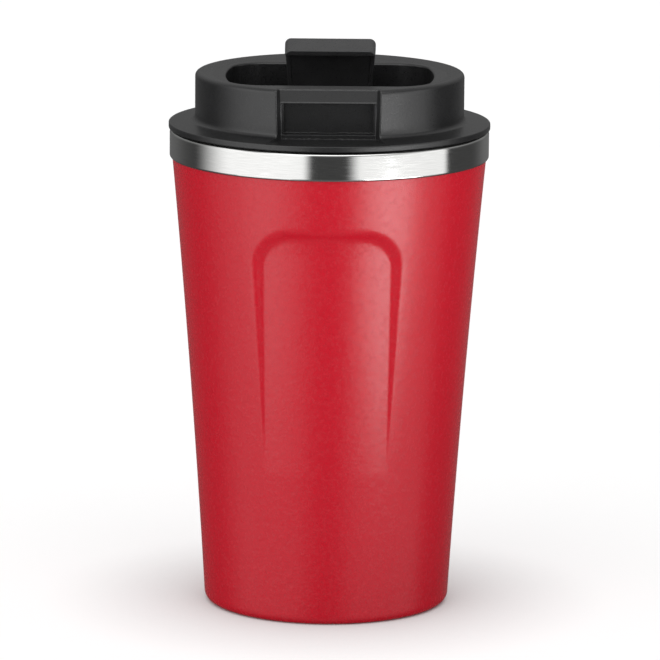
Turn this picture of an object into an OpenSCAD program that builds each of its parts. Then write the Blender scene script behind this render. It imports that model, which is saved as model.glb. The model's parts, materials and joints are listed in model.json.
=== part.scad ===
// Insulated travel mug: a double-wall steel cup, a screw-in lid, and a flip lever
// that stops the drink hole. Millimetres, +Z up. The origin is the centre of the base
// on the table, the drink hole is on the -Y side, and the lever is drawn raised.

/* [Cup] */
// Outer radius of the shell at the table
base_r = 32.6; // [32:0.1:33.5]
// Outer radius of the shell just under the rim band
shell_top_r = 41.7; // [41.5:0.1:42.1]
// Height of the coated part of the shell
shell_h = 120.3; // [112:0.1:130]
// How far the side curves in from a straight line at half height
shell_bow = 0.5; // [0:0.1:1]
// Rounding where the side meets the base
base_round = 2.3; // [1:0.1:2.4]
// Thickness of the steel sheet
sheet_t = 0.5; // [0.4:0.05:0.6]
// Height of the bare steel rim band
band_h = 7.6; // [6.5:0.1:9]
// Outer radius of the rim band
band_r = 42.4; // [42.3:0.1:42.8]
// Inner radius of the cup's mouth
mouth_r = 39.2; // [39.1:0.05:39.3]
// Inner radius of the liner just under the mouth's thread
waist_r = 36.6; // [35.5:0.1:36.8]
// Inner radius of the liner at its foot
liner_foot_r = 29.2; // [28:0.1:29.6]

/* [Grip panel] */
// Half width of the arched panel at its shoulders
arch_half_w = 18.7; // [15:0.1:20]
// Half width of the arched panel at its foot
arch_foot_half_w = 16; // [12:0.1:18]
// Height of the panel's crown above the table
arch_top = 105.3; // [95:0.1:107]
// Height where the panel fades out
arch_foot = 41; // [30:0.5:60]
// Corner radius of the panel
arch_corner = 8.9; // [4:0.1:10]
// Depth of the panel at its crown
arch_depth = 1.7; // [0.8:0.1:1.8]

/* [Lid] */
// Radius of the lid's flange
flange_r = 42.7; // [42.3:0.1:43]
// Thickness of the flange at its edge
flange_t = 1.55; // [1.3:0.05:1.8]
// Gap between the rim band and the flange
lid_gap = 0.2; // [0.1:0.05:0.5]
// Radius of the lid's upright wall
crown_r = 35.7; // [35:0.1:36.5]
// Height of the lid above its flange's underside
crown_h = 14.9; // [14.7:0.1:15]
// Rounding of the crown's top edge
crown_round = 1.3; // [1:0.1:2]
// How far the top falls from the rounding to the level land round the recess
crown_dish = 0.7; // [0.5:0.1:0.9]
// Radius of the level land
land_r = 31; // [30.5:0.1:32]
// Length of the recess, left to right
recess_x = 55; // [52:0.2:56]
// Width of the recess, front to back
recess_y = 41.2; // [41:0.1:41.6]
// Corner radius of the recess
recess_corner = 7; // [6:0.5:12]
// Radius that each end of the recess bulges with
recess_end_r = 75; // [60:1:90]
// Depth of the recess floor under the flange's underside
tub_depth = 14.1; // [13.8:0.1:14.4]
// Wall thickness of the lid's mouldings
moulding_t = 2; // [1.6:0.1:2]

/* [Front notch] */
// Half width of the notch
notch_half_w = 13.4; // [12.8:0.1:14]
// Distance of the notch's back face from the axis
notch_face = 31; // [30.9:0.1:31.1]
// Distance of the ramp's upper edge from the axis
ramp_back = 26.6; // [26:0.1:27.5]
// Half width of the finger pocket
pocket_half_w = 12; // [10:0.1:12.2]
// Depth of the finger pocket
pocket_depth = 2.8; // [1.5:0.1:2.8]

/* [Lever] */
// Angle between the raised and the closed lever
open_deg = 76; // [60:1:76]
// Half width of the lever at its tip
lever_half_w = 12.25; // [11:0.05:12.5]
// Half width of the lever at its hinge
lever_root_half_w = 10; // [9:0.1:10.1]
// Thickness of the lever's plate
plate_t = 2.15; // [1.8:0.05:2.2]
// Radius of the hinge pin
pin_r = 1.5; // [1.2:0.05:1.6]
// Radius of the drink hole
drink_r = 4.5; // [4.4:0.05:4.8]

/* [Thread] */
// Rise of the thread in one turn
thread_lead = 9; // [8:0.5:10]
// Number of thread starts
thread_starts = 3; // [3:1:3]
// Angle that each thread ridge covers
thread_sweep = 100; // [60:5:110]

/* [Hidden] */
$fn = 96;

steel = [0.78, 0.78, 0.77];
red = [0.74, 0.10, 0.14];
black = [0.12, 0.12, 0.125];
silicone = [0.20, 0.20, 0.21];
copper = [0.85, 0.48, 0.32];

arc_steps = 8;
eps = 0.01;
far = 60;

// Cup heights and radii
cup_h = shell_h + band_h;
lid_z = cup_h + lid_gap;
foot_h = 12;
side_steps = 9;
neck_r = band_r - 1.2;
band_round_top = 1.1;
band_round_low = 0.6;
lip_t = 0.6;
base_hole_r = 28.5;
base_disc_r = base_hole_r + 1.3;
shoulder_z = cup_h - 16.4;
waist_z = shoulder_z - 3;
liner_taper_z = 10;
liner_end_z = 6.5;
floor_round = 2;
foil_t = 0.1;
foil_gap = 0.03;
foil_margin = 4.5;
outer_base_z = 3;
outer_base_skirt = 2.5;
exhaust_r = 1.5;
arch_foot_step = 0.2;
getter_x = 14;
getter_r = 3.3;
getter_wall = 0.3;

// Lid heights are measured from the flange's underside
notch_floor = flange_t + 0.05;
ramp_low = 11.3;
ramp_high = 13.8;
pocket_low = 2.8;
pocket_high = 10.9;
flange_edge = 0.3;
foot_fillet = 1.2;
foot_rise = 2.3;
collar_r = mouth_r - 1.8;
collar_chamfer = 0.8;
collar_end = -tub_depth - moulding_t;
gasket_r = mouth_r - 0.1;
gasket_low = -2.9;
gasket_high = -0.5;
gasket_groove = 0.5;
ledge_t = 0.8;
seal_w = 1.6;
vent_y = 17;
vent_r = 0.8;

// Thread: the lid's ridges run half a pitch under the cup's ridges
ridge_root_half_t = 0.8;
ridge_crest_half_t = 0.35;
ridge_steps = 16;
ridge_embed = 0.2;
cup_ridge_r = mouth_r - 1.2;
lid_ridge_r = mouth_r - 0.4;
cup_ridge_z = cup_h - 10.9;
lid_ridge_z = cup_ridge_z - thread_lead / thread_starts / 2;

// Hinge and lever, drawn closed about the hinge axis and then raised
hinge_y = -8.5;
hinge_z = -10.1;
pin_half_l = 13.4;
ear_inner = lever_root_half_w + 0.4;
ear_r = 3.4;
ear_clearance = 0.01;
barrel_r = pin_r + 1.1;
barrel_clearance = 0.05;
lever_top = 16.9;
lever_tip = -35.2;
lever_heel = -5.5;
lever_corner = 2;
lip_low = 9.3;
lip_front = -34.6;
lip_back = -32.95;
leg_t = 2.4;
heel_round = 1.8;
panel_depth = 0.4;
panel_rim = 0.9;
stop_y = 12;
stop_l = 2.5;
stop_half_gap = 7;
stop_w = 2;
stop_clearance = 0.15;

// Stopper under the lever
drink_y = -14.5;
stopper_r = 5.3;
stopper_t = 1.15;
stopper_gap = 0.05;
boss_h = 1.2;
boss_top_r = drink_r - 0.3;
boss_end_r = drink_r - 1;
stem_r = 1.5;
button_r = 2;
button_t = 0.8;
carrier_half_w = 5;
carrier_t = 2;
carrier_tip = -19.8;
carrier_wall = 1.2;
carrier_top = -1.5;

// Points of an arc about [x, y], from angle a0 to a1
function arc(x, y, r, a0, a1) =
    [for (i = [0 : arc_steps]) let (a = a0 + (a1 - a0) * i / arc_steps)
        [x + r * cos(a), y + r * sin(a)]];

function mix(a, b, t) = a + (b - a) * t;

// Radius of the shell's side: straight at the foot, then slightly hollow
function bowed_r(z) = mix(base_r, shell_top_r, z / shell_h)
    - 4 * shell_bow * z / shell_h * (1 - z / shell_h);
function shell_r(z) = z < foot_h ? mix(base_r, bowed_r(foot_h), z / foot_h) : bowed_r(z);

// Heights of the shell's rings between z0 and z1
function rings(z0, z1) = [for (i = [0 : side_steps]) mix(z0, z1, i / side_steps)];

function arch_fade(z) = (z - arch_foot) / (arch_top - arch_foot);
function arch_inset(z) = mix(arch_foot_step, arch_depth, arch_fade(z));

function foil_r(z) = sheet_t + foil_gap
    + mix(liner_foot_r, waist_r, (z - liner_taper_z) / (waist_z - liner_taper_z));

module revolve(points) {
    rotate_extrude() polygon(points);
}

// Prism of a side profile, given as [y, z] points, centred on the plane x = 0
module side_prism(points, half_w) {
    rotate([90, 0, 90]) linear_extrude(2 * half_w, center = true) polygon(points);
}

// Prism that stands on the front and points along -Y, from an [x, z] outline
module front_prism(points) {
    rotate([90, 0, 0]) linear_extrude(far) polygon(points);
}

// ---- Cup ----

// Outline of the grip panel, grown by g all round
module arch_prism(g) {
    w = arch_half_w - arch_corner;
    z = arch_top - arch_corner;
    front_prism(concat([[arch_foot_half_w + g, arch_foot - g]],
                       arc(w, z, arch_corner + g, 0, 90),
                       arc(-w, z, arch_corner + g, 90, 180),
                       [[-arch_foot_half_w - g, arch_foot - g]]));
}

// What the two panels take off a body whose side lies k inside the shell's
module arch_cut(k) {
    z0 = arch_foot - 1;
    z1 = arch_top + 1;
    difference() {
        for (turn = [0, 180]) rotate([0, 0, turn]) arch_prism(k);
        revolve(concat([[0, z0 - 1], [shell_r(z0) - arch_inset(z0) - k, z0 - 1]],
                       [for (z = rings(z0, z1)) [shell_r(z) - arch_inset(z) - k, z]],
                       [[0, z1]]));
    }
}

// Solid body of the shell, k inside its outer face, with its top at z
module shell_body(k, top) {
    difference() {
        revolve(concat([[0, k]],
                       arc(shell_r(base_round) - base_round, base_round, base_round - k, -90, 0),
                       [for (z = rings(foot_h, shell_h - k)) [shell_r(z) - k, z]],
                       [[neck_r - k, shell_h - k], [neck_r - k, top], [0, top]]));
        arch_cut(k);
    }
}

module outer_shell() {
    color(red) difference() {
        shell_body(0, cup_h - lip_t);
        shell_body(sheet_t, cup_h + 1);
        translate([0, 0, -1]) cylinder(r = base_hole_r, h = sheet_t + 2);
    }
}

module rim_band() {
    rt = band_round_top;
    rl = band_round_low;
    color(steel) revolve(concat([[neck_r, shell_h]],
                                arc(band_r - rl, shell_h + rl, rl, -90, 0),
                                arc(band_r - rt, cup_h - rt, rt, 0, 90),
                                [[neck_r, cup_h]]));
}

// One thread ridge: a swept trapezoid that fades out at both ends
module ridge(root_r, crest_r, z0, a0) {
    n = ridge_steps;
    sweep = [for (i = [0 : n])
        let (a = a0 + thread_sweep * i / n,
             z = z0 + thread_lead * thread_sweep * i / n / 360,
             rise = max(0.1, min(1, i / 2, (n - i) / 2)),
             r = mix(root_r, crest_r, rise))
        for (p = [[root_r, -ridge_root_half_t], [r, -ridge_crest_half_t],
                  [r, ridge_crest_half_t], [root_r, ridge_root_half_t]])
            [p[0] * cos(a), p[0] * sin(a), z + p[1]]];
    sides = [for (i = [0 : n - 1], j = [0 : 3])
        let (k = (j + 1) % 4, p = 4 * i, q = 4 * i + 4)
        for (t = [[p + j, q + j, q + k], [p + j, q + k, p + k]]) t];
    ends = [[0, 1, 2], [0, 2, 3], [4 * n + 2, 4 * n + 1, 4 * n], [4 * n + 3, 4 * n + 2, 4 * n]];
    all_faces = concat(sides, ends);
    polyhedron(sweep, crest_r < root_r ? all_faces : [for (f = all_faces) [f[2], f[1], f[0]]]);
}

module ridges(root_r, crest_r, z0) {
    for (i = [0 : thread_starts - 1]) ridge(root_r, crest_r, z0, i * 360 / thread_starts);
}

module inner_liner() {
    t = sheet_t;
    color(steel) union() {
        revolve([[mouth_r, cup_h], [mouth_r, shoulder_z], [waist_r, waist_z],
                 [liner_foot_r, liner_taper_z], [liner_foot_r, liner_end_z],
                 [liner_foot_r + t, liner_end_z], [liner_foot_r + t, liner_taper_z],
                 [waist_r + t, waist_z], [mouth_r + t, shoulder_z],
                 [mouth_r + t, cup_h - lip_t], [neck_r, cup_h - lip_t], [neck_r, cup_h]]);
        ridges(mouth_r + ridge_embed, cup_ridge_r, cup_ridge_z);
    }
}

module inner_base() {
    r = liner_foot_r;
    f = floor_round;
    z = liner_end_z;
    color(steel) revolve(concat([[0, z]],
                                arc(r - f, z + f, f, -90, 0),
                                [[r, liner_taper_z], [r - sheet_t, liner_taper_z]],
                                arc(r - f, z + f, f - sheet_t, 0, -90),
                                [[0, z + sheet_t]]));
}

module radiation_foil() {
    z0 = liner_taper_z + foil_margin;
    z1 = waist_z - foil_margin;
    r0 = foil_r(z0);
    r1 = foil_r(z1);
    color(copper) revolve([[r0, z0], [r0 + foil_t, z0], [r1 + foil_t, z1], [r1, z1]]);
}

module outer_base() {
    z = outer_base_z;
    t = sheet_t;
    r0 = shell_r(z) - t;
    r1 = shell_r(z + outer_base_skirt) - t;
    color(steel) revolve([[exhaust_r, z], [r0, z], [r1, z + outer_base_skirt],
                          [r1 - t, z + outer_base_skirt], [r0 - t, z + t], [exhaust_r, z + t]]);
}

module base_cover() {
    t = sheet_t;
    dome_r = 20;
    dome_h = 0.6;
    color(steel) revolve([[0, t + dome_h], [dome_r - 2, t + dome_h], [dome_r, t], [base_disc_r, t],
                          [base_disc_r, 2 * t], [dome_r + 0.2, 2 * t],
                          [dome_r - 1.8, 2 * t + dome_h], [0, 2 * t + dome_h]]);
}

module getter_holder() {
    w = getter_wall;
    r = getter_r;
    z = outer_base_z + sheet_t;
    color(steel) translate([getter_x, 0, z])
        revolve([[0, 0], [r + w, 0], [r + w, 1.8], [r, 1.8], [r, w], [0, w]]);
}

module getter_pellet() {
    color([0.45, 0.45, 0.47]) translate([getter_x, 0, outer_base_z + sheet_t + getter_wall])
        cylinder(r = getter_r, h = 1.2);
}

module vacuum_plug() {
    z = outer_base_z;
    color([0.3, 0.33, 0.36])
        revolve([[0, z - 0.4], [1.8, z - 0.4], [2.3, z], [exhaust_r, z], [exhaust_r, z + 0.7],
                 [0.9, z + 1.1], [0, z + 1.1]]);
}

// ---- Lid, drawn with its flange's underside at z = 0 ----

// Prism of the recess outline, grown all round: bulged ends that run into round corners
module rounded_prism(grow, z0, z1) {
    r = recess_corner + grow;
    e = recess_end_r + grow;
    end_x = recess_x / 2 - recess_end_r;
    y = recess_y / 2 - recess_corner;
    x = end_x + sqrt(pow(recess_end_r - recess_corner, 2) - y * y);
    join = atan2(y, x - end_x);
    span = join - join / arc_steps;
    translate([0, 0, z0]) linear_extrude(z1 - z0)
        polygon(concat(arc(end_x, 0, e, -span, span), arc(x, y, r, join, 90),
                       arc(-x, y, r, 90, 180 - join), arc(-end_x, 0, e, 180 - span, 180 + span),
                       arc(-x, -y, r, 180 + join, 270), arc(x, -y, r, 270, 360 - join)));
}

module crown_body() {
    e = flange_edge;
    f = foot_fillet;
    c = crown_round;
    revolve(concat([[0, 0], [flange_r - e, 0], [flange_r, e]],
                   arc(flange_r - e, flange_t - e, e, 0, 90),
                   arc(crown_r + f, foot_rise + f, f, 270, 180),
                   arc(crown_r - c, crown_h - c, c, 0, 90),
                   [[land_r, crown_h - crown_dish], [0, crown_h - crown_dish]]));
}

// The walls that close the lid's hollow behind the notch
module notch_block() {
    w = notch_half_w + moulding_t;
    back = notch_face - pocket_depth - moulding_t;
    intersection() {
        cylinder(r = crown_r, h = crown_h - crown_round);
        translate([-w, -far - back, 0]) cube([2 * w, far, crown_h - crown_round]);
    }
}

module notch_cut() {
    side_prism([[-far, notch_floor], [-notch_face, notch_floor], [-notch_face, ramp_low],
                [-ramp_back, ramp_high], [-ramp_back, far], [-far, far]], notch_half_w);
    side_prism([[-notch_face - 1, pocket_low], [-notch_face + pocket_depth, pocket_low],
                [-notch_face + pocket_depth, pocket_high], [-notch_face - 1, pocket_high]],
               pocket_half_w);
}

module hinge_ears() {
    for (side = [-1, 1])
        translate([side * (ear_inner + pin_half_l) / 2, hinge_y, hinge_z]) {
            rotate([0, 90, 0]) cylinder(r = ear_r, h = pin_half_l - ear_inner, center = true);
            translate([-(pin_half_l - ear_inner) / 2, -ear_r, -tub_depth - hinge_z - eps])
                cube([pin_half_l - ear_inner, 2 * ear_r, tub_depth + hinge_z + eps]);
        }
}

// Two ribs on the recess floor that the raised lever leans on
module lever_stops() {
    lean = 90 - open_deg;
    top = hinge_z + (stop_y - hinge_y) * tan(lean) - leg_t / 2 / cos(lean) - stop_clearance;
    for (side = [-1, 1])
        translate([side * (stop_half_gap + stop_w / 2) - stop_w / 2, stop_y, -tub_depth - eps])
            cube([stop_w, stop_l, top + tub_depth + eps]);
}

module lid_shell() {
    color(black) translate([0, 0, lid_z]) difference() {
        union() {
            difference() {
                union() {
                    difference() {
                        crown_body();
                        translate([0, 0, -1])
                            cylinder(r = crown_r - moulding_t,
                                     h = crown_h - crown_dish - moulding_t + 1);
                    }
                    notch_block();
                    rounded_prism(moulding_t, -tub_depth - moulding_t,
                                  crown_h - crown_dish - moulding_t + eps);
                }
                rounded_prism(0, -tub_depth, far);
                notch_cut();
            }
            hinge_ears();
            lever_stops();
        }
        translate([0, hinge_y, hinge_z]) rotate([0, 90, 0])
            cylinder(r = pin_r + ear_clearance, h = far, center = true);
        translate([0, drink_y, -far]) cylinder(r = drink_r, h = far);
        translate([0, vent_y, -far]) cylinder(r = vent_r, h = far);
    }
}

module lid_collar() {
    c = collar_chamfer;
    inner = collar_r - moulding_t;
    ledge_r = cup_ridge_r + 0.2;
    color(black) translate([0, 0, lid_z]) union() {
        difference() {
            revolve([[0, collar_end], [collar_r - c, collar_end], [collar_r, collar_end + c],
                     [collar_r, gasket_low - ledge_t], [ledge_r, gasket_low - ledge_t],
                     [ledge_r, gasket_low], [collar_r, gasket_low], [collar_r, 0], [inner, 0],
                     [inner, -tub_depth], [0, -tub_depth]]);
            rounded_prism(moulding_t, -far, 0);
        }
        translate([0, 0, -lid_z]) ridges(collar_r - ridge_embed, lid_ridge_r, lid_ridge_z);
    }
}

// Ring with two sealing lips, held in the collar's groove
module lid_gasket() {
    z0 = gasket_low;
    z1 = gasket_high;
    mid = (z0 + z1) / 2;
    g = gasket_groove;
    color(silicone) translate([0, 0, lid_z])
        revolve([[collar_r, z0], [gasket_r, z0], [gasket_r - g, mid - 0.2],
                 [gasket_r - g, mid + 0.2], [gasket_r, z1], [collar_r, z1]]);
}

// Seal between the recess wall and the collar's floor
module tub_seal() {
    color(silicone) translate([0, 0, lid_z]) difference() {
        rounded_prism(moulding_t + seal_w, -tub_depth, -tub_depth + seal_w);
        rounded_prism(moulding_t, -tub_depth - 1, -tub_depth + seal_w + 1);
    }
}

module hinge_pin() {
    color(steel) translate([0, hinge_y, lid_z + hinge_z]) rotate([0, 90, 0])
        cylinder(r = pin_r, h = 2 * pin_half_l, center = true);
}

// ---- Lever, drawn closed and then raised about its hinge ----

module raised() {
    translate([0, hinge_y, lid_z + hinge_z]) rotate([-open_deg, 0, 0])
        translate([0, -hinge_y, -hinge_z]) children();
}

module lever_side() {
    top = lever_top;
    under = lever_top - plate_t;
    leg_front = hinge_y - leg_t / 2;
    leg_back = hinge_y + leg_t / 2;
    side_prism(concat([[lever_tip, top - 0.6], [lip_front, lip_low], [lip_back, lip_low],
                       [lip_back, under], [leg_front - 1.5, under], [leg_front, under - 1.5],
                       [leg_front, hinge_z], [leg_back, hinge_z],
                       [leg_back, top - 2 * heel_round]],
                      arc(lever_heel - heel_round, top - heel_round, heel_round, 0, 90),
                      [[lever_tip + 0.6, top]]),
               lever_half_w);
}

module lever_plan() {
    c = lever_corner;
    x = lever_half_w - c;
    translate([0, 0, -far]) linear_extrude(2 * far)
        polygon(concat([[lever_root_half_w, lever_heel], [-lever_root_half_w, lever_heel]],
                       arc(-x, lever_tip + c, c, 180, 270), arc(x, lever_tip + c, c, 270, 360)));
}

module panel_cut() {
    z = lever_top - plate_t;
    x0 = lever_root_half_w - panel_rim;
    x1 = lever_half_w - panel_rim;
    translate([0, 0, z - eps]) linear_extrude(panel_depth + eps)
        polygon([[x0, hinge_y - leg_t], [-x0, hinge_y - leg_t],
                 [-x1, lip_back], [x1, lip_back]]);
}

module flip_lever() {
    color(black) raised() difference() {
        union() {
            intersection() {
                lever_side();
                lever_plan();
            }
            translate([0, hinge_y, hinge_z]) rotate([0, 90, 0])
                cylinder(r = barrel_r, h = 2 * lever_root_half_w, center = true);
        }
        panel_cut();
        translate([0, hinge_y, hinge_z]) rotate([0, 90, 0])
            cylinder(r = pin_r + barrel_clearance, h = far, center = true);
    }
}

// Bracket on the lever's leg that carries the stopper
module stopper_carrier() {
    low = -tub_depth + stopper_gap + stopper_t;
    front = hinge_y - barrel_r - 0.05;
    leg = hinge_y - leg_t / 2;
    clear = hinge_z + barrel_r + 0.4;
    color(black) raised() difference() {
        side_prism([[carrier_tip, low], [front, low], [front, clear], [leg, clear],
                    [leg, carrier_top], [leg - carrier_wall, carrier_top],
                    [leg - carrier_wall, clear + 1.5], [front - carrier_wall, clear],
                    [front - carrier_wall, low + carrier_t], [carrier_tip, low + carrier_t]],
                   carrier_half_w);
        translate([0, drink_y, low - 1]) cylinder(r = stem_r + ear_clearance, h = carrier_t + 2);
    }
}

module drink_stopper() {
    z = -tub_depth + stopper_gap;
    color(silicone) raised() translate([0, drink_y, z])
        revolve([[0, -boss_h], [boss_end_r, -boss_h], [boss_top_r, 0], [stopper_r, 0],
                 [stopper_r, stopper_t], [stem_r, stopper_t], [stem_r, stopper_t + carrier_t],
                 [button_r, stopper_t + carrier_t], [stem_r, stopper_t + carrier_t + button_t],
                 [0, stopper_t + carrier_t + button_t]]);
}

outer_shell();
rim_band();
inner_liner();
inner_base();
radiation_foil();
outer_base();
base_cover();
getter_holder();
getter_pellet();
vacuum_plug();
lid_gasket();
lid_shell();
lid_collar();
tub_seal();
hinge_pin();
flip_lever();
stopper_carrier();
drink_stopper();
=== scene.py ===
"""Insulated travel mug: looks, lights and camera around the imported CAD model."""
import json
import math

import bpy
import numpy as np
from mathutils import Matrix, Vector


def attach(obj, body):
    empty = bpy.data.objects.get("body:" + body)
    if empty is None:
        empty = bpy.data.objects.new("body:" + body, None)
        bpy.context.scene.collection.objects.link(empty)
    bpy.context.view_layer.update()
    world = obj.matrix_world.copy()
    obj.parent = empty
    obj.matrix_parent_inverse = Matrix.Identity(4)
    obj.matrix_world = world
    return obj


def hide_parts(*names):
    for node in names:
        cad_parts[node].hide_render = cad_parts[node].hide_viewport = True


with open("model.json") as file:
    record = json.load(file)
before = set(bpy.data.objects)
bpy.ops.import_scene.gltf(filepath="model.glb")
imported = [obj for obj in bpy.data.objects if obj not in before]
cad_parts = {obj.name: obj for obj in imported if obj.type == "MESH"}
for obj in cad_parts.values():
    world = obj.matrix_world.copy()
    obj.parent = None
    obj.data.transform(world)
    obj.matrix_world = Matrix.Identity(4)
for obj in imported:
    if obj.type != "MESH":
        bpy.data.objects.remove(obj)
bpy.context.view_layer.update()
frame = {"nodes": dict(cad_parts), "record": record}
MM = 0.001

# ---- Camera: lengths in metres, angles in degrees ----
VIEW_DISTANCE = 1.5
VIEW_ELEVATION = 11.15
VIEW_ROLL = 0.44
VIEW_BEARING = 0.5
TARGET_HEIGHT = 0.070
LENS = 305.9
SHIFT_X = 0.0033
SHIFT_Y = 0.0179
SENSOR_WIDTH = 36
CLIP_START, CLIP_END = 0.05, 20


def make_camera():
    data = bpy.data.cameras.new("camera")
    data.sensor_width = SENSOR_WIDTH
    data.lens = LENS
    data.shift_x = SHIFT_X
    data.shift_y = SHIFT_Y
    data.clip_start = CLIP_START
    data.clip_end = CLIP_END
    camera = bpy.data.objects.new("camera", data)
    bpy.context.scene.collection.objects.link(camera)
    tilt = math.radians(VIEW_ELEVATION)
    back = Vector((0, -math.cos(tilt), math.sin(tilt))) * VIEW_DISTANCE
    turn = Matrix.Rotation(math.pi / 2 - tilt, 4, "X") @ Matrix.Rotation(math.radians(VIEW_ROLL), 4, "Z")
    around = Matrix.Rotation(math.radians(VIEW_BEARING), 4, "Z")
    camera.matrix_world = around @ Matrix.Translation(back + Vector((0, 0, TARGET_HEIGHT))) @ turn
    bpy.context.scene.camera = camera


# ---- Node helpers ----

class Nodes:
    """A short way to write a node tree."""

    def __init__(self, tree):
        self.tree = tree

    def add(self, kind, inputs=None, **settings):
        node = self.tree.nodes.new(kind)
        for key, value in settings.items():
            setattr(node, key, value)
        for key, value in (inputs or {}).items():
            if isinstance(value, bpy.types.NodeSocket):
                self.tree.links.new(value, node.inputs[key])
            else:
                node.inputs[key].default_value = value
        return node

    def math(self, operation, a, b=0.0):
        return self.add("ShaderNodeMath", {0: a, 1: b}, operation=operation).outputs[0]

    def ramp(self, value, low, high, out_low=0.0, out_high=1.0):
        node = self.add("ShaderNodeMapRange", {"Value": value, "From Min": low, "From Max": high,
                                               "To Min": out_low, "To Max": out_high},
                        interpolation_type="SMOOTHSTEP")
        return node.outputs["Result"]


def new_material(name):
    material = bpy.data.materials.new(name)
    material.use_nodes = True
    tree = material.node_tree
    tree.nodes.clear()
    nodes = Nodes(tree)
    shader = nodes.add("ShaderNodeBsdfPrincipled")
    output = nodes.add("ShaderNodeOutputMaterial")
    tree.links.new(shader.outputs[0], output.inputs["Surface"])
    return material, nodes, shader


def place(nodes):
    return nodes.add("ShaderNodeTexCoord").outputs["Object"]


def noise(nodes, vector, grain, detail=2.0):
    """Noise whose features are about grain metres across, from 0 to 1."""
    node = nodes.add("ShaderNodeTexNoise", {"Vector": vector, "Scale": 1 / grain, "Detail": detail})
    return node.outputs["Fac"]


def bump(nodes, shader, height, depth, strength=1.0):
    """Bump of the given depth in metres."""
    node = nodes.add("ShaderNodeBump", {"Height": height, "Distance": depth, "Strength": strength})
    nodes.tree.links.new(node.outputs[0], shader.inputs["Normal"])


# Most of a noise texture's values lie between these
NOISE_LOW, NOISE_HIGH = 0.3, 0.7


def tint(nodes, shader, color, factor, spread):
    """Base colour varied by factor, from 1 - spread to 1 + spread."""
    scale = nodes.ramp(factor, NOISE_LOW, NOISE_HIGH, 1 - spread, 1 + spread)
    node = nodes.add("ShaderNodeVectorMath", {0: color, "Scale": scale}, operation="SCALE")
    nodes.tree.links.new(node.outputs[0], shader.inputs["Base Color"])


# ---- Materials ----
RED = (0.45, 0.002, 0.013)
BLACK = (0.008, 0.008, 0.0084)
# The lever's black is lighter than the lid's: painted fill light on its shaded underside
LEVER_BLACK_PAINTED_FILL = (0.022, 0.022, 0.0226)
STEEL = (0.62, 0.62, 0.61)
RUBBER = (0.035, 0.035, 0.037)
# Powder coat: its two grains and its relief in metres, and its range of roughness
COAT_FINE, COAT_BROAD, COAT_RELIEF = 0.00035, 0.0012, 0.00005
COAT_SMOOTHEST, COAT_ROUGHEST = 0.21, 0.29
# Brushed steel: width of a streak, and how little the noise moves on along it
STREAK, STREAK_ROUND, STREAK_ALONG = 0.00016, 0.0012, 0.03
# Etched mould: its fine and broad grain in metres
ETCH_FINE, ETCH_BROAD = 0.00030, 0.004
ETCH_SPECULAR = 0.6


def powder_coat():
    material, nodes, shader = new_material("powder_coat")
    spot = place(nodes)
    fine = noise(nodes, spot, COAT_FINE, 3)
    broad = noise(nodes, spot, COAT_BROAD, 2)
    tint(nodes, shader, RED, fine, 0.07)
    roughness = nodes.ramp(broad, NOISE_LOW, NOISE_HIGH, COAT_SMOOTHEST, COAT_ROUGHEST)
    nodes.tree.links.new(roughness, shader.inputs["Roughness"])
    shader.inputs["Specular IOR Level"].default_value = 0.5
    bump(nodes, shader, nodes.math("ADD", fine, broad), COAT_RELIEF)
    return material


def brushed(name, color, rough, streak_depth, along_x=False):
    """Steel brushed round the Z axis, or drawn along X."""
    material, nodes, shader = new_material(name)
    shader.inputs["Metallic"].default_value = 1.0
    split = nodes.add("ShaderNodeSeparateXYZ", {0: place(nodes)})
    x, y, z = split.outputs
    across, deep = nodes.math("MULTIPLY", x, x), nodes.math("MULTIPLY", y, y)
    radius = nodes.math("SQRT", nodes.math("ADD", across, deep))
    angle = nodes.math("ARCTAN2", x, y)
    arc = nodes.math("MULTIPLY", angle, STREAK_ROUND)
    if along_x:
        along = nodes.math("MULTIPLY", x, STREAK_ALONG)
        streak = nodes.add("ShaderNodeCombineXYZ", {0: along, 1: y, 2: z})
    else:
        streak = nodes.add("ShaderNodeCombineXYZ", {0: arc, 1: radius, 2: z})
    lines = noise(nodes, streak.outputs[0], STREAK, 4)
    tint(nodes, shader, color, lines, 0.06)
    roughness = nodes.ramp(lines, 0.25, 0.75, rough - 0.03, rough + 0.05)
    nodes.tree.links.new(roughness, shader.inputs["Roughness"])
    bump(nodes, shader, lines, streak_depth)
    return material


def moulded(name, color, rough, depth):
    """Black plastic with the fine texture of an etched mould."""
    material, nodes, shader = new_material(name)
    spot = place(nodes)
    fine = noise(nodes, spot, ETCH_FINE, 3)
    broad = noise(nodes, spot, ETCH_BROAD, 2)
    tint(nodes, shader, color, broad, 0.10)
    roughness = nodes.ramp(fine, NOISE_LOW, NOISE_HIGH, rough - 0.05, rough + 0.06)
    nodes.tree.links.new(roughness, shader.inputs["Roughness"])
    shader.inputs["Specular IOR Level"].default_value = ETCH_SPECULAR
    bump(nodes, shader, fine, depth)
    return material


def silicone_rubber():
    material, nodes, shader = new_material("silicone")
    spot = place(nodes)
    tint(nodes, shader, RUBBER, noise(nodes, spot, 0.003), 0.12)
    shader.inputs["Roughness"].default_value = 0.55
    shader.inputs["Subsurface Weight"].default_value = 0.05
    bump(nodes, shader, noise(nodes, spot, 0.0004), 0.00002)
    return material


def plain_metal(name, color, rough):
    material, nodes, shader = new_material(name)
    spot = place(nodes)
    shader.inputs["Metallic"].default_value = 1.0
    tint(nodes, shader, color, noise(nodes, spot, 0.002, 4), 0.10)
    roughness = nodes.ramp(noise(nodes, spot, 0.0008), NOISE_LOW, NOISE_HIGH, rough - 0.08, rough + 0.08)
    nodes.tree.links.new(roughness, shader.inputs["Roughness"])
    return material


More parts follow.
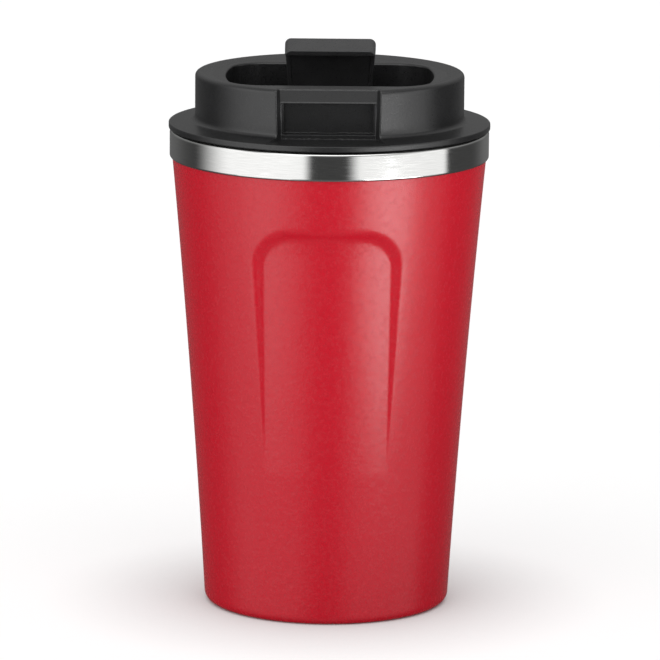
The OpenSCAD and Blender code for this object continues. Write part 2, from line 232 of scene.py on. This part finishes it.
def make_materials():
    return {
        "powder_coat": powder_coat(),
        "rim_steel": brushed("rim_steel", STEEL, 0.09, 0.000004),
        "liner_steel": brushed("liner_steel", STEEL, 0.30, 0.000012),
        "base_steel": brushed("base_steel", STEEL, 0.32, 0.000012),
        "pin_steel": brushed("pin_steel", STEEL, 0.22, 0.000006, along_x=True),
        "copper_foil": plain_metal("copper_foil", (0.80, 0.38, 0.22), 0.30),
        "getter_metal": plain_metal("getter_metal", (0.30, 0.30, 0.31), 0.60),
        "sealing_metal": plain_metal("sealing_metal", (0.20, 0.22, 0.24), 0.40),
        "black_plastic": moulded("black_plastic", BLACK, 0.32, 0.00003),
        "collar_plastic": moulded("collar_plastic", BLACK, 0.32, 0.00001),
        # Lighter black for the lever: painted fill light on its shaded underside
        "lever_plastic": moulded("lever_plastic", LEVER_BLACK_PAINTED_FILL, 0.32, 0.00003),
        "silicone": silicone_rubber(),
    }


def dress(piece, material):
    piece.data.materials.clear()
    piece.data.materials.append(material)


# ---- Moulded pieces: drawn as distance fields in mm, so that every edge is truly rounded ----

def clip(a, b, radius):
    """Inside both a and b, the edge between them rounded."""
    edge = np.hypot(np.maximum(radius + a, 0), np.maximum(radius + b, 0))
    return np.minimum(np.maximum(a, b), -radius) + edge


def weld(a, b, radius):
    """Inside a or b, the corner between them filled with a fillet."""
    corner = np.hypot(np.maximum(radius - a, 0), np.maximum(radius - b, 0))
    return np.maximum(np.minimum(a, b), radius) - corner


def slab(value, low, high, radius=0.0):
    return clip(low - value, value - high, radius)


def share(value, start, end):
    """0 at start, 1 at end, straight between."""
    return np.clip((value - start) / (end - start), 0, 1)


def steps(*stops):
    """Grid lines from alternating places and spacings: place, spacing, place, spacing, place."""
    lines = [np.array([stops[0]])]
    for low, spacing, high in zip(stops[0::2], stops[1::2], stops[2::2]):
        count = max(1, round((high - low) / spacing))
        lines.append(np.linspace(low, high, count + 1)[1:])
    return np.concatenate(lines)


# How a field's surface is found: the reach of a slope in mm, the passes onto the surface, and the least
# squared slope that a pass trusts
SLOPE_REACH, SURFACE_PASSES, LEAST_SLOPE = 0.005, 3, 0.25
FACES_TRIED = 2000


def slope(field, points):
    """The field's value and its gradient at each point."""
    value = field(*points.T)
    grad = np.empty_like(points)
    for axis in range(3):
        ahead, behind = points.copy(), points.copy()
        ahead[:, axis] += SLOPE_REACH
        behind[:, axis] -= SLOPE_REACH
        grad[:, axis] = (field(*ahead.T) - field(*behind.T)) / (2 * SLOPE_REACH)
    return value, grad


def cell_ids(index, axis, around, shape, wrap):
    """The cell next to each grid edge: around moves back by 0 or 1 along the two other axes."""
    others = [a for a in range(3) if a != axis]
    cell = [i.copy() for i in index]
    for other, back in zip(others, around):
        cell[other] -= back
    if wrap:
        cell[0] %= shape[0]
    good = np.ones(len(cell[0]), bool)
    for a in range(3):
        good &= (cell[a] >= 0) & (cell[a] < shape[a])
    return np.where(good, (cell[0] * shape[1] + cell[1]) * shape[2] + cell[2], -1)


def crossed_edges(value, axis, wrap):
    """The grid edges along an axis that the surface crosses, with the field at their two ends."""
    ahead = np.roll(value, -1, axis)
    crossing = (value < 0) != (ahead < 0)
    if axis > 0 or not wrap:
        last = [slice(None)] * 3
        last[axis] = -1
        crossing[tuple(last)] = False
    index = np.nonzero(crossing)
    return index, value[index], ahead[index]


def axis_rings(value, index, shape):
    """Rings of cells round the polar axis, one for each place where the surface crosses it."""
    rings = []
    for k in np.unique(index[2][(index[1] == 0) & (index[0] == 0)]):
        ring = (np.arange(shape[0]) * shape[1]) * shape[2] + k
        rings.append(ring if value[0, 0, k] < 0 else ring[::-1])
    return rings


def surface_nets(field, lines, spread, wrap):
    """Vertices and faces where the field is zero, on a grid whose nodes spread() places in space."""
    grid = spread(*np.meshgrid(*lines, indexing="ij"))
    value = field(*grid)
    points = np.stack(grid, -1)
    shape = [len(lines[0]) - (0 if wrap else 1), len(lines[1]) - 1, len(lines[2]) - 1]
    total = np.zeros((shape[0] * shape[1] * shape[2], 3))
    count = np.zeros(len(total))
    quads, axis_loops = [], []
    for axis in range(3):
        index, here, there = crossed_edges(value, axis, wrap)
        part = (here / (here - there))[:, None]
        on_edge = points[index] * (1 - part) + np.roll(points, -1, axis)[index] * part
        corners = [cell_ids(index, axis, around, shape, wrap) for around in ((1, 1), (0, 1), (0, 0), (1, 0))]
        for cells in corners:
            good = cells >= 0
            np.add.at(total, cells[good], on_edge[good])
            np.add.at(count, cells[good], 1)
        ring = np.stack(corners, 1)
        turn = (here < 0) ^ (axis == 1)
        ring[turn] = ring[turn, ::-1]
        whole = (ring >= 0).all(1)
        quads.append(ring[whole])
        if wrap and axis == 2:
            axis_loops = axis_rings(value, index, shape)
    used = count > 0
    number = np.cumsum(used) - 1
    vertices = total[used] / count[used, None]
    faces = [list(face) for face in number[np.concatenate(quads)].tolist()]
    faces += [number[loop].tolist() for loop in axis_loops]
    return vertices, faces


def moulding(name, field, lines, spread, wrap, placing):
    """A closed mesh of a distance field, with its normals taken from the field."""
    vertices, faces = surface_nets(field, lines, spread, wrap)
    for _ in range(SURFACE_PASSES):
        value, grad = slope(field, vertices)
        vertices -= grad * (value / np.maximum((grad * grad).sum(1), LEAST_SLOPE))[:, None]
    grad = slope(field, vertices)[1]
    normals = grad / np.maximum(np.linalg.norm(grad, axis=1), 1e-6)[:, None]
    turn = np.array(placing.to_3x3())
    mesh = bpy.data.meshes.new(name)
    mesh.from_pydata((vertices @ turn.T + np.array(placing.translation)) * MM, [], faces)
    if outward(mesh, normals @ turn.T) < 0:
        mesh.flip_normals()
    mesh.polygons.foreach_set("use_smooth", [True] * len(mesh.polygons))
    mesh.normals_split_custom_set_from_vertices(normals @ turn.T)
    piece = bpy.data.objects.new(name, mesh)
    bpy.context.scene.collection.objects.link(piece)
    return piece


def outward(mesh, normals):
    """Above 0 where the faces look the way that the normals point."""
    total = 0.0
    for face in mesh.polygons[:FACES_TRIED]:
        total += face.normal.dot(Vector(normals[face.vertices[0]]))
    return total


# Sizes of the moulded pieces in mm, with heights from the underside of the lid's flange
LID_Z = 128.1
FLANGE_R, FLANGE_T, FLANGE_EDGE, FLANGE_RISE = 42.69, 1.55, 0.25, 2.3
CROWN_R, CROWN_H, CROWN_ROUND, CROWN_FALL = 35.7, 14.9, 1.2, 0.7
FOOT_FILLET = 1.2
RECESS_X, RECESS_Y, RECESS_CORNER, RECESS_END_R = 27.5, 20.6, 7.0, 75.0
LAND_R = 31.0
RECESS_RIM, RECESS_FILLET = 0.6, 0.8
TUB_DEPTH, WALL = 14.1, 2.0
NOTCH_FACE, NOTCH_FLOOR, NOTCH_HALF_W = 31.0, 1.6, 12.45
NOTCH_FLARE, NOTCH_DRAFT, NOTCH_MID, RAMP_FLARE = 0.45, 0.03, 7.0, 0.19
NOTCH_SOFT = 0.1
RAMP_LOW, RAMP_HIGH, RAMP_BACK, RAMP_EDGE = 11.3, 13.8, 26.6, 0.35
POCKET_HALF_W, POCKET_LOW, POCKET_HIGH, POCKET_DEPTH = 12.0, 2.8, 10.9, 2.8
POCKET_DRAFT, NOTCH_BLOCK_HALF_W = 0.02, 15.4
HINGE_Y, HINGE_Z, PIN_R, PIN_HALF_L = -8.5, -10.1, 1.5, 13.4
EAR_R, EAR_INNER = 3.4, 10.4
STOP_X, STOP_HALF_W, STOP_Y, STOP_END, STOP_TOP = 8.0, 1.0, 12.0, 14.5, -6.38
DRINK_R, DRINK_Y, VENT_R, VENT_Y = 4.5, -14.5, 0.8, 17.0
DRINK_CUT_TOP = HINGE_Z / 2
SOFT = 0.3


def recess_plan(x, y, grow):
    """Distance from the recess outline, grown all round: its ends bulge and its corners are round."""
    end = np.hypot(np.abs(x) - RECESS_X + RECESS_END_R, y) - RECESS_END_R
    return clip(end - grow, np.abs(y) - RECESS_Y - grow, RECESS_CORNER + grow)


def outer_lid(x, y, z):
    """Flange, crown and tub, before anything is cut out."""
    rho = np.hypot(x, y)
    rise = FLANGE_T + (FLANGE_RISE - FLANGE_T) * share(-rho, -FLANGE_R, -CROWN_R)
    flange = clip(rho - FLANGE_R, slab(z, 0, rise), FLANGE_EDGE)
    fall = CROWN_FALL * share(-rho, CROWN_ROUND - CROWN_R, -LAND_R)
    crown = clip(rho - CROWN_R, slab(z, 0, CROWN_H - fall), CROWN_ROUND)
    tub = clip(recess_plan(x, y, WALL),
               slab(z, -TUB_DEPTH - WALL, CROWN_H - CROWN_ROUND), SOFT)
    return np.minimum(weld(flange, crown, FOOT_FILLET), tub)


def recess(x, y, z):
    return clip(recess_plan(x, y, 0), -TUB_DEPTH - z, RECESS_FILLET)


def behind_notch(x, y, z):
    """What the front notch leaves: its face and ramp, its jambs and its floor."""
    run, climb = NOTCH_FACE - RAMP_BACK, RAMP_HIGH - RAMP_LOW
    over_ramp = ((z - RAMP_LOW) * run - (y + NOTCH_FACE) * climb) / math.hypot(run, climb)
    block = clip(-y - NOTCH_FACE, weld(over_ramp, -y - RAMP_BACK, SOFT / 2), RAMP_EDGE)
    out_from_face = -NOTCH_FACE - y
    half_w = (NOTCH_HALF_W + NOTCH_FLARE * np.maximum(out_from_face, 0)
              + RAMP_FLARE * np.maximum(-out_from_face, 0) + NOTCH_DRAFT * (z - NOTCH_MID))
    return weld(weld(block, half_w - np.abs(x), NOTCH_SOFT), z - NOTCH_FLOOR, NOTCH_SOFT)


def pocket(x, y, z):
    depth = np.maximum(y + NOTCH_FACE, 0)
    width = np.abs(x) - POCKET_HALF_W + POCKET_DRAFT * depth
    across = clip(width, slab(z, POCKET_LOW, POCKET_HIGH), NOTCH_SOFT)
    return clip(across, y + NOTCH_FACE - POCKET_DEPTH, NOTCH_SOFT)


def floor_parts(x, y, z):
    """The hinge ears, and the ribs that the raised lever leans on."""
    from_pin = np.hypot(y - HINGE_Y, z - HINGE_Z)
    post = clip(np.abs(y - HINGE_Y) - EAR_R, z - HINGE_Z, 0)
    ear = clip(np.minimum(from_pin - EAR_R, post), slab(np.abs(x), EAR_INNER, PIN_HALF_L), SOFT)
    rib = clip(np.abs(np.abs(x) - STOP_X) - STOP_HALF_W, slab(y, STOP_Y, STOP_END), SOFT)
    parts = np.minimum(clip(ear, -TUB_DEPTH - 1 - z, 0), clip(rib, slab(z, -TUB_DEPTH - 1, STOP_TOP), SOFT))
    return np.maximum(parts, PIN_R - from_pin)


def hollow(x, y, z):
    """The space under the lid's top, open below, round the tub and the block behind the notch."""
    rho = np.hypot(x, y)
    space = np.maximum(rho - CROWN_R + WALL, z - CROWN_H + CROWN_FALL + WALL)
    block = np.maximum(np.abs(x) - NOTCH_BLOCK_HALF_W, y + NOTCH_FACE - POCKET_DEPTH - WALL)
    return np.maximum(space, -np.minimum(recess_plan(x, y, WALL), block))


def lid_field(x, y, z):
    solid = clip(outer_lid(x, y, z), -recess(x, y, z), RECESS_RIM)
    solid = np.maximum(solid, -hollow(x, y, z))
    solid = clip(solid, behind_notch(x, y, z), SOFT)
    solid = clip(solid, -pocket(x, y, z), SOFT / 2)
    solid = weld(solid, floor_parts(x, y, z), SOFT)
    drink = np.hypot(x, y - DRINK_Y) - DRINK_R
    vent = np.hypot(x, y - VENT_Y) - VENT_R
    solid = clip(solid, -np.maximum(drink, z - DRINK_CUT_TOP), SOFT)
    return np.maximum(solid, -np.maximum(vent, z))


def polar(angle, radius, z):
    """Grid nodes round the axis: angle 0 is the front."""
    return radius * np.sin(angle), -radius * np.cos(angle), z


def lid_skin():
    turn = np.radians(steps(-180, 2.6, -28, 0.5, -20, 1.0, 20, 0.5, 28, 2.6, 180))[:-1]
    radius = steps(0, 1.8, 5.4, 0.9, 19.8, 0.45, 30.6, 0.25, 36.6, 1.1, 42, 0.1, 42.9)
    height = steps(-16.6, 0.3, -15.4, 0.6, -14.6, 0.3, -13.1, 1.2, -0.4, 0.15, 0.5, 0.25, 3.5,
                   1.2, 10.4, 0.12, 11.84, 0.24, 15.1)
    placing = Matrix.Translation((0, 0, LID_Z))
    return moulding("lid_shell_skin", lid_field, (turn, radius, height), polar, True, placing)


# The lever, drawn closed and then raised about its hinge
OPEN_ANGLE = 76
LEVER_TOP, PLATE_T, LEG_T = 16.9, 2.15, 2.4
LEVER_TIP, LEVER_HEEL = -35.1, -5.5
TIP_HALF_W, ROOT_HALF_W, TIP_CORNER = 12.25, 10.0, 1.8
LIP_LOW, LIP_BACK, LIP_SLANT = 9.3, -32.95, 0.08
PANEL_DEPTH, PANEL_RIM = 0.4, 1.1
BARREL_R, BARREL_PLAY = 2.6, 0.05
HEEL_ROUND, LEVER_SOFT = 1.8, 0.35
LIP_FILLET, LEG_FILLET, PANEL_GAP = 0.5, 1.5, 0.3


def lever_field(x, y, z):
    tip = LEVER_TIP + LIP_SLANT * np.maximum(LEVER_TOP - z, 0)
    under = LEVER_TOP - PLATE_T
    leg_front, leg_back = HINGE_Y - LEG_T / 2, HINGE_Y + LEG_T / 2
    plate = slab(z, under, LEVER_TOP)
    lip = clip(y - LIP_BACK, slab(z, LIP_LOW, LEVER_TOP), LEVER_SOFT)
    leg = clip(slab(y, leg_front, leg_back), slab(z, HINGE_Z, LEVER_TOP), 0)
    side = weld(weld(plate, lip, LIP_FILLET), leg, LEG_FILLET)
    side = clip(side, y - LEVER_HEEL, HEEL_ROUND)
    side = clip(side, slab(z, -20, LEVER_TOP), LEVER_SOFT)
    half_w = ROOT_HALF_W + (TIP_HALF_W - ROOT_HALF_W) * (LEVER_HEEL - y) / (LEVER_HEEL - LEVER_TIP)
    plan = clip(np.abs(x) - half_w, tip - y, TIP_CORNER)
    body = clip(side, plan, LEVER_SOFT)
    panel = clip(np.abs(x) - half_w + PANEL_RIM, slab(y, LIP_BACK, leg_front - PANEL_GAP), SOFT)
    body = clip(body, -np.maximum(panel, slab(z, under - 1, under + PANEL_DEPTH)), SOFT / 2)
    from_pin = np.hypot(y - HINGE_Y, z - HINGE_Z)
    barrel = clip(from_pin - BARREL_R, np.abs(x) - ROOT_HALF_W, SOFT)
    body = weld(body, barrel, SOFT)
    return np.maximum(body, PIN_R + BARREL_PLAY - from_pin)


def straight(x, y, z):
    return x, y, z


def lever_skin():
    across = steps(-12.7, 0.2, -9.4, 1.2, 9.4, 0.2, 12.7)
    along = steps(-35.6, 0.2, -32.4, 1.2, -12, 0.25, -5)
    height = steps(-13.2, 0.3, -6.6, 1.2, 8.9, 0.2, 10.2, 0.8, 13.8, 0.15, 17.2)
    hinge = Matrix.Translation((0, HINGE_Y, HINGE_Z))
    placing = (Matrix.Translation((0, 0, LID_Z)) @ hinge
               @ Matrix.Rotation(math.radians(-OPEN_ANGLE), 4, "X") @ hinge.inverted())
    return moulding("flip_lever_skin", lever_field, (across, along, height), straight, False, placing)


# ---- Cup shell ----
BASE_R, SHELL_TOP_R, SHELL_H, SHELL_BOW, FOOT_H = 32.6, 41.7, 120.3, 0.5, 12.0
BASE_ROUND, SHEET_T, BASE_HOLE_R = 2.3, 0.5, 28.5
NECK_R, NECK_TOP = 41.2, 127.3
ARCH_TOP, ARCH_FOOT, ARCH_DEPTH = 107.0, 41.0, 1.7
ARCH_FLOOR_HALF_W, ARCH_FOOT_HALF_W, ARCH_CORNER, ARCH_BAND = 17.1, 15.9, 10.5, 3.3
ARCH_FADE_END, ARCH_LEAST_BAND = 100.0, 0.2
# The grid is fine out to this bearing on each side of the front and the back, in degrees
FINE_SPAN = 34
FINE_TURN, COARSE_TURN = 0.6, 3
SHARP_ANGLE = 50


def bowed_r(z):
    return BASE_R + (SHELL_TOP_R - BASE_R) * z / SHELL_H - 4 * SHELL_BOW * z / SHELL_H * (1 - z / SHELL_H)


def side_r(z):
    return np.where(z < FOOT_H, BASE_R + (bowed_r(FOOT_H) - BASE_R) * z / FOOT_H, bowed_r(z))


def arch_inset(x, z):
    """How deep the pressed panel lies at a place on the front: it fades out towards its foot."""
    fade = share(z, ARCH_FOOT, ARCH_FADE_END)
    band = np.maximum(ARCH_BAND * fade, ARCH_LEAST_BAND)
    half_w = ARCH_FOOT_HALF_W + (ARCH_FLOOR_HALF_W - ARCH_FOOT_HALF_W) * share(z, ARCH_FOOT, ARCH_TOP) + band
    u, v = half_w - np.abs(x), ARCH_TOP - z
    corner = ARCH_CORNER - np.hypot(np.maximum(ARCH_CORNER - u, 0), np.maximum(ARCH_CORNER - v, 0))
    inside = np.where((u < ARCH_CORNER) & (v < ARCH_CORNER), corner, np.minimum(u, v))
    step = share(inside, 0, band)
    return ARCH_DEPTH * fade * step * step * (3 - 2 * step)


def shell_outline():
    """The sheet's closed outline, from the hole in its base up the outside and back down the inside."""
    heights = steps(4, 4, ARCH_FOOT - 1, 0.8, ARCH_TOP + 1, 3, SHELL_H)
    inner = steps(4, 2, SHELL_H - SHEET_T)[::-1]
    turn = np.radians(np.linspace(-90, 0, 9))
    middle = side_r(np.array(BASE_ROUND)) - BASE_ROUND
    outer_round = [(middle + BASE_ROUND * math.cos(a), BASE_ROUND * (1 + math.sin(a)), 0) for a in turn]
    tight = BASE_ROUND - SHEET_T
    inner_round = [(middle + tight * math.cos(a), BASE_ROUND + tight * math.sin(a), 0) for a in turn[::-1]]
    outside = [(side_r(z), z, 1) for z in heights]
    inside = [(side_r(z) - SHEET_T, z, 1) for z in inner]
    neck = [(NECK_R, SHELL_H, 0), (NECK_R, NECK_TOP, 0), (NECK_R - SHEET_T, NECK_TOP, 0),
            (NECK_R - SHEET_T, SHELL_H - SHEET_T, 0)]
    return np.array([(BASE_HOLE_R, 0, 0)] + outer_round + outside + neck + inside + inner_round
                    + [(BASE_HOLE_R, SHEET_T, 0)])


def lathe(name, outline, turn, inset):
    """A closed grid turned round the axis, with inset(x, z) pressed into it at the front and back."""
    radius, height, pressed = [column[:, None] for column in outline.T]
    radius = radius - pressed * inset(radius * np.sin(turn), height)
    points = np.stack([radius * np.sin(turn), -radius * np.cos(turn), height + 0 * turn], -1)
    rows, columns = len(outline), len(turn)
    number = np.arange(rows * columns).reshape(rows, columns)
    right, up = np.roll(number, -1, 1), np.roll(number, -1, 0)
    faces = np.stack([number, right, np.roll(right, -1, 0), up], -1).reshape(-1, 4)
    mesh = bpy.data.meshes.new(name)
    mesh.from_pydata(points.reshape(-1, 3) * MM, [], faces.tolist())
    piece = bpy.data.objects.new(name, mesh)
    bpy.context.scene.collection.objects.link(piece)
    mesh.polygons.foreach_set("use_smooth", [True] * len(mesh.polygons))
    mesh.set_sharp_from_angle(angle=math.radians(SHARP_ANGLE))
    return piece


def shell_skin():
    turn = steps(-180, FINE_TURN, -180 + FINE_SPAN, COARSE_TURN, -FINE_SPAN, FINE_TURN, FINE_SPAN,
                 COARSE_TURN, 180 - FINE_SPAN, FINE_TURN, 180)
    turn = np.radians(turn)[:-1]
    return lathe("outer_shell_skin", shell_outline(), turn, arch_inset)


# ---- Stage and light ----
FLOOR_SIZE = 12.0
FLOOR_GLOW = 0.58
# Painted contact shadow on the floor's glow: how far the occlusion reaches in metres, and its power
SHADE_REACH, SHADE_POWER = 0.045, 1.35
FLOOR_COLOR = (0.50, 0.50, 0.50)
FLOOR_GRAIN, FLOOR_SPREAD = 0.4, 0.01
FLOOR_ROUGH, FLOOR_SPECULAR = 0.9, 0.1


def make_floor():
    """White sweep that glows evenly and is lit by the studio, and that reflections pass through to the
    studio's cards.

    Its glow is dimmed close to whatever blocks it by ambient occlusion: a painted contact shadow.
    """
    bpy.ops.mesh.primitive_plane_add(size=FLOOR_SIZE)
    floor = bpy.context.object
    floor.name = "floor"
    material, nodes, shader = new_material("floor_paper")
    tint(nodes, shader, FLOOR_COLOR, noise(nodes, place(nodes), FLOOR_GRAIN), FLOOR_SPREAD)
    shader.inputs["Roughness"].default_value = FLOOR_ROUGH
    shader.inputs["Specular IOR Level"].default_value = FLOOR_SPECULAR
    shader.inputs["Emission Color"].default_value = (1, 1, 1, 1)
    # Painted contact shadow: the glow is dimmed by ambient occlusion near the object
    painted_shadow_ao = nodes.add("ShaderNodeAmbientOcclusion", {"Distance": SHADE_REACH}).outputs["AO"]
    glow_with_painted_shadow = nodes.math("MULTIPLY", nodes.math("POWER", painted_shadow_ao, SHADE_POWER), FLOOR_GLOW)
    nodes.tree.links.new(glow_with_painted_shadow, shader.inputs["Emission Strength"])
    dress(floor, material)
    floor.visible_glossy = False


# Cards round the object: bearings from the front and elevations in degrees, each with its soft edge
CARDS = {
    "left": dict(start=-93, start_edge=20, end=-15, end_edge=4, low=-15, high=36, fade=4, glow=1.40),
    "right": dict(start=18, start_edge=6, end=93.8, end_edge=3, low=-15, high=20, fade=4, glow=1.28),
    "back_left": dict(start=-200, start_edge=5, end=-132, end_edge=18, low=-15, high=15, fade=4, glow=0.07),
    "back_right": dict(start=138, start_edge=14, end=200, end_edge=5, low=-15, high=15, fade=4, glow=0.10),
    "low_left": dict(start=-90, start_edge=8, end=-22, end_edge=8, low=-45, high=-15, fade=4, glow=0.38),
    "low_right": dict(start=16, start_edge=8, end=93, end_edge=8, low=-45, high=-15, fade=4, glow=0.34),
    "low_front": dict(start=-60, start_edge=15, end=60, end_edge=15, low=-78, high=-32, fade=6, glow=0.15),
    "front_fill": dict(start=-55, start_edge=15, end=55, end_edge=15, low=40, high=75, fade=6, glow=1.6),
}
SKY_LOW, SKY_HIGH = 0.07, 0.60
SKY_START, SKY_END = -4, 50


def card_light(nodes, bearing, lift, start, start_edge, end, end_edge, low, high, fade, glow):
    """One card's light by direction."""
    side = nodes.math("MULTIPLY", nodes.ramp(bearing, start - start_edge, start + start_edge),
                      nodes.ramp(bearing, end - end_edge, end + end_edge, 1.0, 0.0))
    tall = nodes.math("MULTIPLY", nodes.ramp(lift, low - fade, low + fade),
                      nodes.ramp(lift, high - fade, high + fade, 1.0, 0.0))
    return nodes.math("MULTIPLY", nodes.math("MULTIPLY", side, tall), glow)


def make_light():
    """Studio surround: a card on each side, a front fill above the camera, and dark gaps between."""
    world = bpy.data.worlds.new("studio")
    bpy.context.scene.world = world
    world.use_nodes = True
    world.node_tree.nodes.clear()
    nodes = Nodes(world.node_tree)
    way = nodes.add("ShaderNodeSeparateXYZ", {0: nodes.add("ShaderNodeTexCoord").outputs["Generated"]})
    x, y, z = way.outputs
    degree = 180 / math.pi
    bearing = nodes.math("MULTIPLY", nodes.math("ARCTAN2", x, nodes.math("MULTIPLY", y, -1)), degree)
    lift = nodes.math("MULTIPLY", nodes.math("ARCSINE", z), degree)
    glow = nodes.ramp(lift, SKY_START, SKY_END, SKY_LOW, SKY_HIGH)
    for card in CARDS.values():
        glow = nodes.math("ADD", glow, card_light(nodes, bearing, lift, **card))
    back = nodes.add("ShaderNodeBackground", {"Color": (1, 1, 1, 1), "Strength": glow})
    output = nodes.add("ShaderNodeOutputWorld")
    world.node_tree.links.new(back.outputs[0], output.inputs["Surface"])
    bpy.context.scene.view_settings.view_transform = "Standard"


# Reflectors that lie on the table on each side, which the upper part of the shell mirrors
REFLECTOR_OUT, REFLECTOR_FRONT, REFLECTOR_LIFT = 0.30, -0.30, 0.004
REFLECTOR_SIZE = 0.30
REFLECTOR_POWER = {"left": 0.32, "right": 1.55}


def make_reflectors():
    for name, side in (("left", -1), ("right", 1)):
        data = bpy.data.lights.new("reflector_" + name, "AREA")
        data.size = REFLECTOR_SIZE
        data.energy = REFLECTOR_POWER[name]
        light = bpy.data.objects.new("reflector_" + name, data)
        spot = Matrix.Translation((side * REFLECTOR_OUT, REFLECTOR_FRONT, REFLECTOR_LIFT))
        light.matrix_world = spot @ Matrix.Rotation(math.pi, 4, "X")
        bpy.context.scene.collection.objects.link(light)


def main():
    make_camera()
    make_floor()
    make_light()
    make_reflectors()
    finish = make_materials()
    slots = {s["node"]: s["material_slot"] for s in frame["record"]["subparts"]}
    for node, piece in frame["nodes"].items():
        dress(piece, finish[slots[node]])
    for make, node, body in ((shell_skin, "outer_shell", "cup"), (lid_skin, "lid_shell", "lid"),
                             (lever_skin, "flip_lever", "lever")):
        piece = make()
        dress(piece, finish[slots[node]])
        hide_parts(node)
        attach(piece, body)


main()
